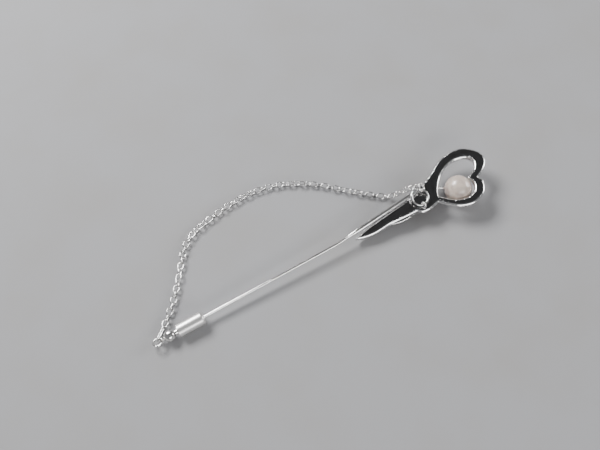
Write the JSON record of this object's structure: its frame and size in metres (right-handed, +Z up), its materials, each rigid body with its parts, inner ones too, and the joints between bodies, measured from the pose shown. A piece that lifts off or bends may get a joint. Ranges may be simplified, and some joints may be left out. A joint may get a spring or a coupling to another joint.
{
  "type": "stick pin with safety chain",
  "caption": "Stick pin with an open heart and wing head, a pearl on a post, a tapered needle and a ball clutch on a fine safety chain.",
  "frame": {"origin": "centre of the lying pin's box, on the surface it lies on", "axes": "+Z up with the pin on its face, +X along the needle from the clutch to the head"},
  "size_m": [0.0863, 0.0306, 0.0066],
  "materials": {
    "dark_polish": "mirror polished rhodium plate",
    "silver_polish": "polished silver",
    "needle_polish": "drawn and polished wire",
    "barrel_satin": "fine satin with soft drawing lines",
    "clutch_steel": "plain turned steel",
    "pearl": "cream pearl with a soft lustre"
  },
  "bodies": {
    "pin": {"front_shell": "dark_polish", "back_plate": "dark_polish", "pearl": "pearl", "pearl_post": "silver_polish", "needle": "needle_polish", "needle_solder": "silver_polish", "chain_eyelet": "silver_polish"},
    "neck_rings": {"neck_ring": "silver_polish", "chain_ring": "silver_polish"},
    "chain_1": {"chain_stretch_01": "silver_polish", "chain_stretch_02": "silver_polish"},
    "chain_2": {"chain_stretch_03": "silver_polish", "chain_stretch_04": "silver_polish"},
    "chain_3": {"chain_stretch_05": "silver_polish", "chain_stretch_06": "silver_polish"},
    "chain_4": {"chain_stretch_07": "silver_polish", "chain_stretch_08": "silver_polish"},
    "chain_5": {"chain_stretch_09": "silver_polish", "chain_stretch_10": "silver_polish"},
    "chain_6": {"chain_stretch_11": "silver_polish", "chain_stretch_12": "silver_polish"},
    "end_link": {"end_link": "silver_polish"},
    "clutch_core": {"ball_cage": "clutch_steel", "gripping_balls": "clutch_steel", "clutch_spring": "clutch_steel", "pull_knob": "silver_polish", "knob_eyelet": "silver_polish"},
    "wedge_sleeve": {"wedge_sleeve": "clutch_steel"},
    "barrel": {"barrel": "barrel_satin", "end_cap": "barrel_satin"},
    "clutch_ring": {"clutch_ring": "silver_polish"}
  },
  "joints": [
    {"name": "neck_ring_turn", "type": "hinge", "parent": "pin", "child": "neck_rings", "pos_m": [0.024, -0.00995, 0.00444], "axis": [0, 0, 1], "range_deg": [0, 3.2]},
    {"name": "chain_turn_1", "type": "hinge", "parent": "neck_rings", "child": "chain_1", "pos_m": [0.02524, -0.00581, 0.006], "axis": [0, 0, 1], "range_deg": [-3.1, 0]},
    {"name": "chain_turn_2", "type": "hinge", "parent": "chain_1", "child": "chain_2", "pos_m": [0.01541, 0.00044, 0.0008], "axis": [0, 0, 1], "range_deg": [0, 17.2]},
    {"name": "chain_turn_3", "type": "hinge", "parent": "chain_2", "child": "chain_3", "pos_m": [0.00535, 0.00944, 0.0008], "axis": [0, 0, 1], "range_deg": [-7.9, 0]},
    {"name": "chain_turn_4", "type": "hinge", "parent": "chain_3", "child": "chain_4", "pos_m": [-0.00707, 0.01432, 0.0008], "axis": [0, 0, 1], "range_deg": [-9.5, 0]},
    {"name": "chain_turn_5", "type": "hinge", "parent": "chain_4", "child": "chain_5", "pos_m": [-0.02044, 0.01292, 0.0008], "axis": [0, 0, 1], "range_deg": [-10.6, 0]},
    {"name": "chain_turn_6", "type": "hinge", "parent": "chain_5", "child": "chain_6", "pos_m": [-0.03089, 0.00522, 0.0008], "axis": [0, 0, 1], "range_deg": [-5.6, 0]},
    {"name": "end_link_turn", "type": "hinge", "parent": "chain_6", "child": "end_link", "pos_m": [-0.03952, -0.0051, 0.0008], "axis": [0, 0, 1], "range_deg": [0, 3.7]},
    {"name": "clutch_slide", "type": "slide", "parent": "pin", "child": "clutch_core", "axis": [-0.9997, 0, -0.0244], "range_m": [0, 0.0075]},
    {"name": "clutch_release", "type": "slide", "parent": "clutch_core", "child": "wedge_sleeve", "axis": [0.9997, 0, 0.0244], "range_m": [0, 0.001], "stiffness_N_per_m": 400, "springref_m": -0.0005, "deforming": ["clutch_spring"]},
    {"name": "barrel_turn", "type": "hinge", "parent": "wedge_sleeve", "child": "barrel", "pos_m": [-0.03399, -0.0078, 0.00163], "axis": [0.9997, 0, 0.0244], "continuous": true},
    {"name": "clutch_ring_turn", "type": "hinge", "parent": "clutch_core", "child": "clutch_ring", "pos_m": [-0.04101, -0.0078, 0.0014], "axis": [0, 0, 1], "range_deg": [-6, 0]}
  ],
  "couplings": [
    {"joint": "neck_ring_turn", "follows": "clutch_slide", "rad_per_m": 7.069},
    {"joint": "chain_turn_1", "follows": "clutch_slide", "rad_per_m": -6.929},
    {"joint": "chain_turn_2", "follows": "clutch_slide", "rad_per_m": 39.602},
    {"joint": "chain_turn_3", "follows": "clutch_slide", "rad_per_m": -18.082},
    {"joint": "chain_turn_4", "follows": "clutch_slide", "rad_per_m": -21.817},
    {"joint": "chain_turn_5", "follows": "clutch_slide", "rad_per_m": -24.278},
    {"joint": "chain_turn_6", "follows": "clutch_slide", "rad_per_m": -12.706},
    {"joint": "end_link_turn", "follows": "clutch_slide", "rad_per_m": 8.221},
    {"joint": "clutch_ring_turn", "follows": "clutch_slide", "rad_per_m": -9.308}
  ]
}
